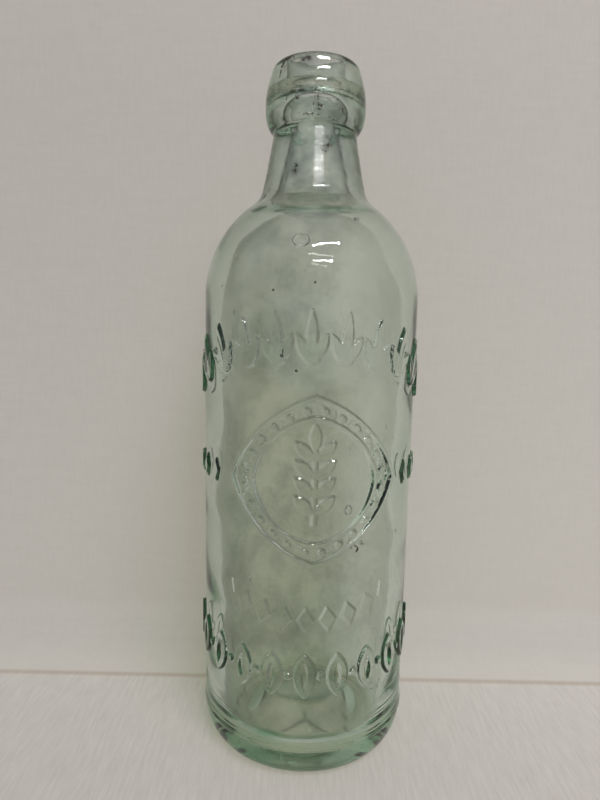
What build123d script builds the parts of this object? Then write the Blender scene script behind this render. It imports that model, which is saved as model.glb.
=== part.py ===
from build123d import *
from math import asin, cos, degrees, pi, radians, sin, sqrt
import os

# Marble stopper bottle for aerated drinks: a heavy moulded glass bottle, a loose glass marble
# kept in the pocket of its lip, and a rubber ring in a groove above it. Gas lifts the marble
# against the ring. Millimetres, +Z up, origin at the centre of the base, embossed side at -Y.

# Body, from the standing ring to the top of the straight wall
body_diameter = 66.0
body_height = 139.7
body_draft = 0.3
wall = 5.3

# Heel and standing ring
heel_height = 10.1
heel_reach = 6.8
standing_ring_width = 4.4

# Base, pushed up from below and thick above it
kick_height = 9.0
kick_crown_reach = 10.0
kick_foot_reach = 6.0
base_thickness = 5.8
floor_edge_height = 5.5
floor_corner_height = 9.0
floor_corner_reach = 8.5
floor_crown_reach = 9.0
floor_foot_reach = 8.0

# Shoulder and neck, outside
shoulder_rise = 29.7
neck_foot_radius = 16.4
neck_foot_fillet = 4.0
neck_length = 20.1
neck_top_radius = 12.5

# Neck, inside
throat_radius = 7.15
bore_foot_radius = 11.6
ledge_radius = 10.4
ledge_drop = 2.8

# Lip, outside
lip_radius = 15.2
lip_height = 19.1
lip_bulge_height = 7.0
lip_top_radius = 13.4
rim_height = 2.7
crown_radius = 10.8
mouth_radius = 8.3
mouth_rounding = 2.1

# Marble, its seat and the drain left beside it
marble_diameter = 16.0
marble_clearance = 0.05
seat_height = 0.4
seat_rounding = 1.0
seat_sweep = 110.0
pocket_radius = 10.0
drain_width = 14.0
drain_length = 17.2

# Rubber ring and its groove
ring_section = 3.0
ring_centre_radius = 8.9
ring_height = 11.05
ring_clearance = 0.05

# Embossing
relief = 0.8
relief_root = 1.2

arch_drop = 10.4
arch_curve_radius = 106.0
arch_sweep = 165.0
arch_count = 11
palmette_height = 14.4
palmette_leaf_width = 3.1
palmette_side_length = 9.2
palmette_side_tilt = 28.0
palmette_foot_length = 3.0
palmette_foot_width = 4.4

cartouche_drop = 49.7
cartouche_turn = 2.7
cartouche_reach = 24.0
cartouche_bulge = 4.2
cartouche_line = 1.5
cartouche_band = 5.6
cartouche_bead = 2.2
cartouche_bead_count = 6
sprig_height = 24.0
sprig_stem_width = 1.4
sprig_leaf_length = 7.8
sprig_leaf_width = 3.4
sprig_leaf_tilt = 48.0
sprig_pairs = 4
sprig_pair_pitch = 5.0

side_mark_angles = (-78.0, -66.0, -54.0, 58.0, 70.0, 82.0)
side_mark_length = 7.6
side_mark_width = 3.4

small_row_height = 50.7
small_row_curve_radius = 61.0
small_row_sweep = 108.0
small_row_count = 11
small_lozenge_height = 7.6
small_lozenge_width = 5.0

foot_row_height = 33.8
foot_row_curve_radius = 420.0
foot_row_sweep = 166.0
foot_row_count = 11
dart_height = 13.0
dart_width = 6.2
dart_slot_width = 1.5
dart_slot_length = 7.2
foot_bead = 2.2

# Heights of the outline, worked out from the sizes above
body_radius = body_diameter / 2
heel_radius = body_radius - body_draft
neck_foot_height = body_height + shoulder_rise
lip_foot_height = neck_foot_height + neck_length
top_height = lip_foot_height + lip_height
bulge_height = lip_foot_height + lip_bulge_height
rim_foot_height = top_height - rim_height
mouth_edge_height = top_height - mouth_rounding
bore_radius = body_radius - wall
bore_heel_radius = heel_radius - wall
ledge_height = neck_foot_height - ledge_drop
floor_height = kick_height + base_thickness
standing_radius = heel_radius - heel_reach
kick_radius = standing_radius - standing_ring_width
floor_radius = bore_heel_radius - floor_corner_reach
floor_corner_top = floor_edge_height + floor_corner_height

# Seat bead, marble and ring, stacked from the lip's foot
marble_radius = marble_diameter / 2
seat_centre_radius = throat_radius + seat_rounding
seat_centre_height = lip_foot_height + seat_height
seat_reach = marble_radius + seat_rounding + marble_clearance
marble_height = seat_centre_height + sqrt(seat_reach**2 - seat_centre_radius**2)
ring_centre_height = lip_foot_height + ring_height
ring_reach = marble_radius + ring_section / 2 + marble_clearance
marble_lifted_height = ring_centre_height - sqrt(ring_reach**2 - ring_centre_radius**2)
marble_lift = marble_lifted_height - marble_height
groove_radius = ring_section / 2 + ring_clearance
groove_half_height = sqrt(groove_radius**2 - (ring_centre_radius - mouth_radius) ** 2)
seat_end_angle = radians(180.0 - seat_sweep)
seat_end = (
    seat_centre_radius + seat_rounding * cos(seat_end_angle),
    seat_centre_height + seat_rounding * sin(seat_end_angle),
)
pocket_top = (mouth_radius, ring_centre_height - groove_half_height)
pocket_middle = (pocket_radius, (seat_end[1] + pocket_top[1]) / 2)


# Outline helpers

def leaf(length, width):
    """A pointed leaf that stands on the origin and points up."""
    with BuildSketch(mode=Mode.PRIVATE) as shape:
        with BuildLine():
            ThreePointArc((0, 0), (width / 2, length / 2), (0, length))
            ThreePointArc((0, length), (-width / 2, length / 2), (0, 0))
        make_face()
    return shape.sketch


def palmette():
    """Three leaves that spread from a small foot, centred on the origin."""
    with BuildSketch(mode=Mode.PRIVATE) as shape:
        with Locations((0, -palmette_height / 2)):
            add(leaf(palmette_height, palmette_leaf_width))
            add(leaf(palmette_side_length, palmette_leaf_width).rotate(Axis.Z, palmette_side_tilt))
            add(leaf(palmette_side_length, palmette_leaf_width).rotate(Axis.Z, -palmette_side_tilt))
        with Locations((0, -palmette_height / 2 + palmette_foot_length / 2)):
            Ellipse(palmette_foot_width / 2, palmette_foot_length / 2)
    return shape.sketch


def dart():
    """A broad leaf with a slot along its middle, centred on the origin."""
    with BuildSketch(mode=Mode.PRIVATE) as shape:
        with Locations((0, -dart_height / 2)):
            add(leaf(dart_height, dart_width))
        with Locations((0, -dart_slot_length / 2)):
            add(leaf(dart_slot_length, dart_slot_width), mode=Mode.SUBTRACT)
    return shape.sketch


def lozenge(length, width):
    """An upright diamond centred on the origin."""
    with BuildSketch(mode=Mode.PRIVATE) as shape:
        with BuildLine():
            Polyline((0, -length / 2), (width / 2, 0), (0, length / 2), (-width / 2, 0), close=True)
        make_face()
    return shape.sketch


def cushion(reach, bulge):
    """A four pointed frame with bowed sides, centred on the origin."""
    bow = reach / 2 + bulge / sqrt(2)
    with BuildSketch(mode=Mode.PRIVATE) as shape:
        with BuildLine():
            ThreePointArc((0, reach), (bow, bow), (reach, 0))
            ThreePointArc((reach, 0), (bow, -bow), (0, -reach))
            ThreePointArc((0, -reach), (-bow, -bow), (-reach, 0))
            ThreePointArc((-reach, 0), (-bow, bow), (0, reach))
        make_face()
    return shape.sketch


def body_plane(angle, height, tilt=0.0):
    """The plane of a motif's top, angle degrees round from the front, leaning tilt degrees."""
    outward = Vector(0, -1, 0).rotate(Axis.Z, angle)
    across = Vector(1, 0, 0).rotate(Axis.Z, angle).rotate(Axis((0, 0, 0), outward), tilt)
    return Plane(outward * (body_radius + relief) + Vector(0, 0, height), x_dir=across, z_dir=outward)


def row_places(apex_height, curve_radius, sweep, count, sign):
    """Planes spread evenly along a row that arches up (sign 1) or hangs down (sign -1)."""
    places = []
    for step in range(count):
        angle = sweep * (step / (count - 1) - 1 / 2)
        along = body_radius * radians(angle)
        fall = curve_radius - sqrt(curve_radius**2 - along**2)
        lean = degrees(asin(along / curve_radius))
        places.append(body_plane(angle, apex_height - sign * fall, -sign * lean))
    return places


def between_places(apex_height, curve_radius, sweep, count, sign):
    """Planes halfway between the places of the same row."""
    narrower = sweep * (count - 2) / (count - 1)
    return row_places(apex_height, curve_radius, narrower, count - 1, sign)


# Bottle

with BuildPart() as bottle:
    with BuildSketch(Plane.XZ) as section:
        with BuildLine():
            # underside and heel
            Bezier(
                (0, kick_height),
                (kick_crown_reach, kick_height),
                (kick_radius - kick_foot_reach, 0),
                (kick_radius, 0),
            )
            Line((kick_radius, 0), (standing_radius, 0))
            EllipticalCenterArc(
                (standing_radius, heel_height), heel_reach, heel_height, start_angle=270, arc_size=90
            )
            # straight wall, shoulder and neck
            Line((heel_radius, heel_height), (body_radius, body_height))
            TangentArc((body_radius, body_height), (neck_foot_radius, neck_foot_height), tangent=(0, 1))
            Line((neck_foot_radius, neck_foot_height), (neck_top_radius, lip_foot_height))
            # lip
            EllipticalCenterArc(
                (neck_top_radius, bulge_height),
                lip_radius - neck_top_radius,
                lip_bulge_height,
                start_angle=270,
                arc_size=90,
            )
            TangentArc((lip_radius, bulge_height), (lip_top_radius, rim_foot_height), tangent=(0, 1))
            EllipticalCenterArc(
                (crown_radius, rim_foot_height),
                lip_top_radius - crown_radius,
                rim_height,
                start_angle=0,
                arc_size=90,
            )
            EllipticalCenterArc(
                (crown_radius, mouth_edge_height),
                crown_radius - mouth_radius,
                mouth_rounding,
                start_angle=90,
                arc_size=90,
            )
            # mouth, ring groove, marble pocket and seat
            Line((mouth_radius, mouth_edge_height), (mouth_radius, ring_centre_height + groove_half_height))
            ThreePointArc(
                (mouth_radius, ring_centre_height + groove_half_height),
                (ring_centre_radius + groove_radius, ring_centre_height),
                pocket_top,
            )
            ThreePointArc(pocket_top, pocket_middle, seat_end)
            CenterArc(
                (seat_centre_radius, seat_centre_height),
                seat_rounding,
                start_angle=180 - seat_sweep,
                arc_size=seat_sweep,
            )
            # neck bore, ledge, inner shoulder and wall
            Line((throat_radius, seat_centre_height), (bore_foot_radius, neck_foot_height))
            Line((bore_foot_radius, neck_foot_height), (ledge_radius, ledge_height))
            TangentArc((bore_radius, body_height), (ledge_radius, ledge_height), tangent=(0, 1))
            Line((bore_radius, body_height), (bore_heel_radius, floor_corner_top))
            # floor
            EllipticalCenterArc(
                (floor_radius, floor_corner_top),
                floor_corner_reach,
                floor_corner_height,
                start_angle=270,
                arc_size=90,
            )
            Bezier(
                (floor_radius, floor_edge_height),
                (floor_radius - floor_foot_reach, floor_edge_height),
                (floor_crown_reach, floor_height),
                (0, floor_height),
            )
            Line((0, floor_height), (0, kick_height))
        make_face()
        neck_foot = section.vertices().sort_by_distance(Vector(neck_foot_radius, neck_foot_height))[0]
        fillet(neck_foot, neck_foot_fillet)
    revolve(axis=Axis.Z)

    # drain past the marble, at the front and back of the throat
    with BuildSketch(Plane.XY.offset(neck_foot_height)):
        Ellipse(drain_width / 2, drain_length / 2)
    extrude(amount=seat_centre_height + seat_rounding - neck_foot_height, mode=Mode.SUBTRACT)

    # arched row of palmettes
    for place in row_places(body_height - arch_drop, arch_curve_radius, arch_sweep, arch_count, 1):
        with BuildSketch(place):
            add(palmette())
    # marks at the sides
    for angle in side_mark_angles:
        with BuildSketch(body_plane(angle, body_height - cartouche_drop)):
            add(lozenge(side_mark_length, side_mark_width))
    # small hanging row of lozenges
    for place in row_places(small_row_height, small_row_curve_radius, small_row_sweep, small_row_count, -1):
        with BuildSketch(place):
            add(lozenge(small_lozenge_height, small_lozenge_width))
    # row of darts and beads round the foot
    for place in row_places(foot_row_height, foot_row_curve_radius, foot_row_sweep, foot_row_count, -1):
        with BuildSketch(place):
            add(dart())
    for place in between_places(foot_row_height, foot_row_curve_radius, foot_row_sweep, foot_row_count, -1):
        with BuildSketch(place):
            Circle(foot_bead / 2)
    extrude(amount=-(relief + relief_root))

# Cartouche with a leaf sprig, wrapped on the front of the body

with BuildPart(mode=Mode.PRIVATE) as cartouche:
    front = body_plane(cartouche_turn, body_height - cartouche_drop)
    inner_reach = cartouche_reach - cartouche_band
    with BuildSketch(front):
        add(cushion(cartouche_reach, cartouche_bulge))
        add(cushion(cartouche_reach - cartouche_line, cartouche_bulge), mode=Mode.SUBTRACT)
    with BuildSketch(front):
        add(cushion(inner_reach, cartouche_bulge))
        add(cushion(inner_reach - cartouche_line, cartouche_bulge), mode=Mode.SUBTRACT)
    with BuildSketch(front):
        bead_reach = cartouche_reach - (cartouche_line + cartouche_band) / 2
        bead_bow = cartouche_bulge / sqrt(2)
        for step in range(cartouche_bead_count):
            along = (step + 1 / 2) / cartouche_bead_count
            swell = bead_bow * sin(pi * along)
            across = bead_reach * along + swell
            up = bead_reach * (1 - along) + swell
            with Locations((across, up), (-across, up), (across, -up), (-across, -up)):
                Circle(cartouche_bead / 2)
    with BuildSketch(front):
        Rectangle(sprig_stem_width, sprig_height)
        with Locations((0, sprig_height / 2 - sprig_leaf_width)):
            add(leaf(sprig_leaf_length, sprig_leaf_width))
        for pair in range(sprig_pairs):
            joint_height = sprig_height / 2 - sprig_leaf_width - sprig_pair_pitch * (pair + 1 / 2)
            with Locations((0, joint_height)):
                add(leaf(sprig_leaf_length, sprig_leaf_width).rotate(Axis.Z, sprig_leaf_tilt))
                add(leaf(sprig_leaf_length, sprig_leaf_width).rotate(Axis.Z, -sprig_leaf_tilt))
    extrude(amount=-body_radius)
    with BuildSketch(Plane.XY):
        Circle(body_radius + relief)
        Circle(body_radius - relief_root, mode=Mode.SUBTRACT)
    extrude(amount=top_height, mode=Mode.INTERSECT)

with bottle:
    add(cartouche.part)

bottle.part.label = "bottle"

# Marble, resting on the seat

with BuildPart() as marble:
    with Locations((0, 0, marble_height)):
        Sphere(marble_radius)

marble.part.label = "marble"

# Rubber ring in the groove above the pocket

with BuildPart() as seal_ring:
    with BuildSketch(Plane.XZ):
        with Locations((ring_centre_radius, ring_centre_height)):
            Circle(ring_section / 2)
    revolve(axis=Axis.Z)

seal_ring.part.label = "seal_ring"

# Files

os.makedirs("parts", exist_ok=True)
for piece in (bottle, marble, seal_ring):
    export_step(piece.part, f"parts/{piece.part.label}.step")

print("total height", round(top_height, 3))
print("marble centre at rest", round(marble_height, 3), "lift", round(marble_lift, 3))
print("mouth bore from", round(ring_centre_height + groove_half_height, 3), "to", round(mouth_edge_height, 3))
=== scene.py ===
"""Looks of a marble stopper bottle: moulded glass, its loose marble, its rubber ring and a plain studio."""

from functools import partial
from math import asin, atan2, cos, degrees, pi, radians, sin, sqrt, tan

import bpy
import numpy as np
from bpy.props import FloatProperty, FloatVectorProperty, IntProperty, PointerProperty
from mathutils import Euler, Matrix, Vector


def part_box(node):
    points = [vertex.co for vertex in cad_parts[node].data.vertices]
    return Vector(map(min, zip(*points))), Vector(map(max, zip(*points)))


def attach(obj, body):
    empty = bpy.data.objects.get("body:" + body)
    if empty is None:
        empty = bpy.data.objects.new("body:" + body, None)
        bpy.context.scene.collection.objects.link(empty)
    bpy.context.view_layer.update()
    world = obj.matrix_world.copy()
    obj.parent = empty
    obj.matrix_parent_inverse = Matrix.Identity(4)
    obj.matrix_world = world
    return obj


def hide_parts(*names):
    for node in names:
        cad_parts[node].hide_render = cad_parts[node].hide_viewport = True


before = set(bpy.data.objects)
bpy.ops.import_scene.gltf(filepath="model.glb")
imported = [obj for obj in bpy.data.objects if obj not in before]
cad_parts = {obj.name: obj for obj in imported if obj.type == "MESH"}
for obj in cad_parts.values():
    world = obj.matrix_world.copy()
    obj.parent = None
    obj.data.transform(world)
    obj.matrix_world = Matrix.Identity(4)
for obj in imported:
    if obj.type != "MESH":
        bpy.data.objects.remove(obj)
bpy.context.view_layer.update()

bl_info = {
    "name": "Marble Stopper Bottle",
    "version": (1, 0, 0),
    "blender": (4, 5, 0),
    "location": "3D View > Sidebar > Marble Bottle",
    "description": "Builds the glass, marble, ring and studio of a marble stopper bottle on its packed frame",
    "category": "Add Mesh",
}

MM = 0.001

# Sizes of the bottle's section, in millimetres, as in the part's source
BODY_RADIUS = 33.0
BODY_HEIGHT = 139.7
BODY_DRAFT = 0.3
WALL = 5.3
HEEL_HEIGHT = 10.1
HEEL_REACH = 6.8
RING_FOOT_WIDTH = 4.4
KICK_HEIGHT = 9.0
KICK_CROWN_REACH = 10.0
KICK_FOOT_REACH = 6.0
BASE_THICKNESS = 5.8
FLOOR_EDGE_HEIGHT = 5.5
FLOOR_CORNER_HEIGHT = 9.0
FLOOR_CORNER_REACH = 8.5
FLOOR_CROWN_REACH = 9.0
FLOOR_FOOT_REACH = 8.0
SHOULDER_RISE = 29.7
NECK_FOOT_RADIUS = 16.4
NECK_LENGTH = 20.1
NECK_TOP_RADIUS = 12.5
THROAT_RADIUS = 7.15
BORE_FOOT_RADIUS = 11.6
LEDGE_RADIUS = 10.4
LEDGE_DROP = 2.8
LIP_RADIUS = 15.2
LIP_HEIGHT = 19.1
LIP_BULGE_HEIGHT = 7.0
LIP_TOP_RADIUS = 13.4
RIM_HEIGHT = 2.7
CROWN_RADIUS = 10.8
MOUTH_RADIUS = 8.3
MOUTH_ROUNDING = 2.1
SEAT_HEIGHT = 0.4
SEAT_ROUNDING = 1.0
SEAT_SWEEP = 110.0
POCKET_RADIUS = 10.0
DRAIN_WIDTH = 14.0
DRAIN_LENGTH = 17.2
GROOVE_CLEARANCE = 0.05

# Heights that follow from them
HEEL_RADIUS = BODY_RADIUS - BODY_DRAFT
NECK_FOOT = BODY_HEIGHT + SHOULDER_RISE
LIP_FOOT = NECK_FOOT + NECK_LENGTH
TOP = LIP_FOOT + LIP_HEIGHT
BULGE = LIP_FOOT + LIP_BULGE_HEIGHT
RIM_FOOT = TOP - RIM_HEIGHT
MOUTH_EDGE = TOP - MOUTH_ROUNDING
STANDING_RADIUS = HEEL_RADIUS - HEEL_REACH
KICK_RADIUS = STANDING_RADIUS - RING_FOOT_WIDTH
BORE_RADIUS = BODY_RADIUS - WALL
BORE_HEEL_RADIUS = HEEL_RADIUS - WALL
FLOOR_RADIUS = BORE_HEEL_RADIUS - FLOOR_CORNER_REACH
FLOOR_TOP = KICK_HEIGHT + BASE_THICKNESS
FLOOR_CORNER_TOP = FLOOR_EDGE_HEIGHT + FLOOR_CORNER_HEIGHT

# Embossing, in millimetres and degrees, as in the part's source
RELIEF = 0.8
RELIEF_LIFT = 0.05
ARCH_APEX = 129.3
ARCH_CURVE_RADIUS = 106.0
ARCH_SWEEP = 165.0
ARCH_COUNT = 11
PALMETTE_HEIGHT = 14.4
PALMETTE_LEAF_WIDTH = 3.1
PALMETTE_SIDE_LENGTH = 9.2
PALMETTE_SIDE_TILT = 28.0
PALMETTE_FOOT_LENGTH = 3.0
PALMETTE_FOOT_WIDTH = 4.4
CARTOUCHE_HEIGHT = 90.0
CARTOUCHE_TURN = 2.7
CARTOUCHE_REACH = 24.0
CARTOUCHE_BULGE = 4.2
CARTOUCHE_LINE = 1.5
CARTOUCHE_BAND = 5.6
CARTOUCHE_BEAD = 2.2
CARTOUCHE_BEAD_COUNT = 6
SPRIG_HEIGHT = 24.0
SPRIG_STEM_WIDTH = 1.4
SPRIG_LEAF_LENGTH = 7.8
SPRIG_LEAF_WIDTH = 3.4
SPRIG_LEAF_TILT = 48.0
SPRIG_PAIRS = 4
SPRIG_PAIR_PITCH = 5.0
SIDE_MARK_ANGLES = (-78.0, -66.0, -54.0, 58.0, 70.0, 82.0)
SIDE_MARK_LENGTH = 7.6
SIDE_MARK_WIDTH = 3.4
SMALL_ROW_HEIGHT = 50.7
SMALL_ROW_CURVE_RADIUS = 61.0
SMALL_ROW_SWEEP = 108.0
SMALL_ROW_COUNT = 11
SMALL_LOZENGE_HEIGHT = 7.6
SMALL_LOZENGE_WIDTH = 5.0
FOOT_ROW_HEIGHT = 33.8
FOOT_ROW_CURVE_RADIUS = 420.0
FOOT_ROW_SWEEP = 166.0
FOOT_ROW_COUNT = 11
DART_HEIGHT = 13.0
DART_WIDTH = 6.2
DART_SLOT_WIDTH = 1.5
DART_SLOT_LENGTH = 7.2
FOOT_BEAD = 2.2

STIPPLE_COUNT = 1700
STIPPLE_SIZE = 0.46
STIPPLE_RISE = 0.7
SMALL_ROW_SHARE = 0.5
SMALL_ROW_SOFTNESS = 1.8
NECK_HOLLOW = 0.24

# Heights between which the wall is embossed, and the share of a turn that is finely meshed
EMBOSSED_FOOT = 26.0
EMBOSSED_TOP = 137.5
FINE_HALF_ANGLE = 98.0
HEEL_FINE_TOP = 13.6

# Mould marks at the heel: (height, rise, half width) of joints all round, (angle, foot, top) of upright ones
HEEL_JOINTS = ((10.8, 0.34, 0.42), (12.5, 0.13, 0.34))
HEEL_TICKS = ((-2.7, 4.5, 11.5), (-11.4, 5.0, 10.6), (-3.9, 9.6, 12.2))

# Old flaws: bubbles as ((angle, height), (half across, half deep, half tall)) in degrees and millimetres
LARGE_BUBBLES = (
    ((21.2, 81.5), (1.2, 0.75, 1.5)),
    ((28.6, 160.6), (0.85, 0.5, 0.7)),
    ((-7.1, 154.2), (2.3, 0.45, 1.9)),
    ((-31.0, 60.0), (0.5, 0.4, 0.9)),
    ((44.0, 104.0), (0.35, 0.3, 0.8)),
)

# Runs of dirt flakes: first and last (angle, height), spread, count, smallest and largest flake
FLAKE_RUNS = (
    ((-46.4, 203.4), (-45.3, 206.2), 0.16, 9, 0.25, 0.5),
    ((-45.0, 206.2), (-35.5, 207.5), 0.16, 9, 0.25, 0.5),
    ((-32.0, 205.6), (-29.0, 206.8), 0.3, 5, 0.12, 0.25),
    ((-48.0, 199.6), (-45.0, 202.5), 0.3, 5, 0.15, 0.3),
    ((-36.0, 196.2), (-31.0, 194.4), 0.3, 6, 0.12, 0.28),
    ((-22.0, 195.5), (-20.0, 194.6), 0.1, 3, 0.2, 0.32),
    ((-2.0, 197.4), (3.5, 191.4), 0.55, 26, 0.12, 0.34),
    ((18.0, 194.8), (32.0, 191.6), 0.7, 20, 0.10, 0.30),
    ((-20.0, 191.2), (22.0, 190.2), 0.12, 16, 0.10, 0.26),
    ((-58.5, 168.0), (-53.5, 172.6), 0.10, 12, 0.2, 0.4),
    ((-26.0, 178.0), (-21.0, 174.6), 0.45, 14, 0.12, 0.42),
    ((9.0, 181.6), (20.0, 183.6), 0.7, 18, 0.10, 0.32),
    ((14.5, 184.8), (12.0, 186.2), 0.4, 5, 0.10, 0.2),
    ((-13.3, 124.4), (-13.0, 125.2), 0.25, 6, 0.2, 0.45),
    ((-7.1, 120.3), (-7.0, 120.4), 0.1, 2, 0.25, 0.35),
    ((23.0, 71.6), (25.5, 70.4), 0.5, 12, 0.15, 0.4),
    ((27.0, 72.4), (29.0, 71.6), 0.4, 6, 0.12, 0.25),
    ((-18.6, 141.2), (-18.4, 141.3), 0.05, 1, 0.28, 0.3),
    ((0.7, 143.4), (0.8, 143.5), 0.05, 1, 0.28, 0.32),
    ((-50.1, 142.6), (-50.0, 142.7), 0.05, 1, 0.26, 0.3),
    ((-42.0, 149.8), (-41.6, 150.0), 0.1, 2, 0.2, 0.25),
    ((-24.0, 101.0), (-23.0, 100.0), 0.2, 2, 0.15, 0.3),
    ((37.0, 26.4), (52.0, 26.2), 0.7, 14, 0.10, 0.26),
    ((-62.0, 118.0), (58.0, 20.0), 14.0, 46, 0.06, 0.17),
    ((-70.0, 150.0), (70.0, 130.0), 9.0, 26, 0.06, 0.15),
)
FLAKE_RISE = 0.05
FLAKE_SPREAD = 1.5

# Colours of dirt, the residue colour also painted shade on the marks' edges; of glass at a slant and at the
# brink of a reflection, partly film and partly painted shade; and of thick glass, partly painted shade at the
# heel
BLACK_DIRT = (0.030, 0.024, 0.018)
RUST_DIRT = (0.075, 0.045, 0.027)
RESIDUE_AND_EDGE_SHADE = (0.020, 0.015, 0.008)
DUST = ((0.38, 0.39, 0.38), (0.32, 0.41, 0.39))
SLANTED_FILM_AND_SHADE = (0.12, 0.17, 0.10)
BRINK_DIRT_AND_SHADE = (0.05, 0.035, 0.018)
DEEP_GLASS_AND_SHADE = (0.10, 0.38, 0.20)
SHADOW_TINTS = ((0.98, 0.965, 0.94), (0.80, 0.74, 0.70))

# Soft smudges on the outside: (angle, height), half across, half tall, strength
SMUDGES = (
    ((-13.9, 205.9), 2.0, 1.3, 1.5),
    ((-68.0, 190.9), 4.6, 2.8, 1.6),
    ((65.0, 190.9), 4.2, 2.6, 1.5),
    ((-20.5, 196.9), 5.0, 0.6, 1.5),
    ((-6.0, 197.4), 2.6, 0.45, 1.2),
    ((-36.0, 196.3), 2.2, 0.6, 1.0),
    ((30.5, 197.4), 2.4, 0.9, 0.7),
    ((31.9, 195.7), 2.2, 1.6, 0.7),
    ((22.0, 191.4), 3.0, 2.2, 0.6),
    ((1.4, 194.3), 1.6, 3.2, 0.6),
    ((14.0, 182.6), 2.4, 1.7, 0.8),
    ((-22.5, 176.0), 1.3, 1.9, 0.7),
    ((-43.0, 205.0), 1.2, 2.2, 0.8),
    ((-30.0, 184.0), 1.6, 2.6, 0.35),
    ((34.0, 206.0), 4.0, 1.4, 0.6),
    ((-22.0, 164.8), 3.4, 1.3, 0.8),
    ((26.7, 164.2), 2.4, 0.9, 0.7),
)

# Dark streaks inside the neck and above the floor: foot and top (angle, height), half width, strength
STREAKS = (
    ((-46.0, 166.5), (-35.0, 189.0), 0.34, 0.75),
    ((48.0, 166.5), (51.0, 186.0), 0.34, 0.75),
    ((-47.0, 8.0), (-34.0, 27.0), 0.6, 0.8),
    ((31.0, 8.0), (21.0, 24.0), 0.6, 0.8),
)

# Dark folds in the floor: first and last (angle, radius)
FLOOR_FOLDS = (((4.0, 13.0), (-20.0, 17.5)), ((4.0, 13.0), (24.0, 18.0)), ((4.0, 11.5), (4.0, 13.0)))

# Camera and studio, in metres and degrees
CAMERA_PLACE = Vector((-0.00285, -0.1874, 0.13276))
CAMERA_PITCH = 7.43
CAMERA_ROLL = 1.22
FOCAL_LENGTH = 26.46
SENSOR = 36.0

# What glass mirrors of the room, from straight behind the camera (0) to straight behind the bottle (1)
ROOM_TONES = (
    (0.0, (0.62, 0.65, 0.68)), (0.10, (0.60, 0.63, 0.66)), (0.24, (0.12, 0.125, 0.12)),
    (0.46, (0.16, 0.16, 0.15)), (0.56, (0.46, 0.43, 0.385)), (1.0, (0.46, 0.43, 0.385)))

CEILING_TONE = (0.50, 0.51, 0.52)
WHITE = (1.0, 1.0, 1.0)

# Brightness of the window side, by how far to the right one looks (1 is straight to the right)
WINDOW_TONES = ((0.3, 0.6), (0.6, 1.1), (1.0, 0.36))

# Levels of painted light and shade that keep the backdrop even, by the way along it from the table's front up
# the wall, in metres
BACKDROP_LINE = 0.0195
LINE_EDGE = 0.0003
LINE_FADE = 0.0021
LINE_COLOUR = (0.30, 0.22, 0.15)
TONE_SHARE = 0.8
# Painted light from side to side: darker to the left, lighter to the right.
SIDEWAYS_PAINTED_LIGHT = (0.985, 1.035)
BACKDROP_PAINTED_LIGHT = (
    (-0.080, 0.94), (-0.030, 0.95), (0.0193, 1.0), (0.0197, 1.02), (0.028, 1.02), (0.034, 0.92),
    (0.042, 0.86),
    (0.050, 0.88), (0.057, 0.96), (0.064, 1.07), (0.100, 1.06), (0.150, 1.02), (0.200, 0.98), (0.260, 0.94))

# Strokes of the paint brush: (stretch), fineness, and how strong they are on the table and on the wall
BRUSH_STROKES = (((1.0, 0.10, 0.16), 900.0, 0.34, 0.10), ((0.14, 0.5, 1.0), 760.0, 0.04, 0.09))


# Settings that a user would change

class GlassSettings(bpy.types.PropertyGroup):
    """Finish of the moulded glass."""

    column_step: FloatProperty(
        name="Column Step", description="Width of the mesh's columns on the embossed side",
        default=0.30 * MM, min=0.2 * MM, subtype="DISTANCE", unit="LENGTH", precision=5)
    row_step: FloatProperty(
        name="Row Step", description="Height of the mesh's rows on the embossed wall",
        default=0.30 * MM, min=0.2 * MM, subtype="DISTANCE", unit="LENGTH", precision=5)
    edge_softness: FloatProperty(
        name="Edge Softness", description="Width of the slope round each embossed mark",
        default=0.28 * MM, min=0.05 * MM, subtype="DISTANCE", unit="LENGTH", precision=5)
    inner_waviness: FloatProperty(
        name="Inner Waviness", description="How far the blown inside wanders from a true circle",
        default=0.35 * MM, min=0.0, subtype="DISTANCE", unit="LENGTH", precision=5)
    outer_waviness: FloatProperty(
        name="Outer Waviness", description="Depth of the faint hollows that a cold mould leaves",
        default=0.09 * MM, min=0.0, subtype="DISTANCE", unit="LENGTH", precision=5)
    seed_count: IntProperty(
        name="Seeds", description="How many small bubbles lie in the wall", default=46, min=0)
    tint: FloatVectorProperty(
        name="Tint", description="Colour of the glass at its surface", subtype="COLOR",
        default=(0.995, 0.99, 0.975), min=0.0, max=1.0)
    depth_tint: FloatVectorProperty(
        name="Depth Tint", description="Colour that thick glass turns to", subtype="COLOR",
        default=(0.63, 0.852, 0.714), min=0.0, max=1.0)
    depth_density: FloatProperty(
        name="Depth Density", description="Absorption of the glass per metre", default=42.0, min=0.0)


class MarbleSettings(bpy.types.PropertyGroup):
    """Finish of the loose marble."""

    pit_depth: FloatProperty(
        name="Pit Depth", description="Depth of the knocks on the marble",
        default=0.05 * MM, min=0.0, subtype="DISTANCE", unit="LENGTH", precision=5)
    tint: FloatVectorProperty(
        name="Tint", description="Colour of the marble at its surface", subtype="COLOR",
        default=(1.0, 1.0, 1.0), min=0.0, max=1.0)
    depth_density: FloatProperty(
        name="Depth Density", description="Absorption of the marble per metre", default=14.0, min=0.0)


class RingSettings(bpy.types.PropertyGroup):
    """Finish of the rubber ring."""

    rubber: FloatVectorProperty(
        name="Rubber", description="Colour of the aged gum rubber", subtype="COLOR",
        default=(0.98, 0.975, 0.94), min=0.0, max=1.0)
    stain: FloatVectorProperty(
        name="Stain", description="Colour of its perished patches", subtype="COLOR",
        default=(0.74, 0.66, 0.48), min=0.0, max=1.0)


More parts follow.
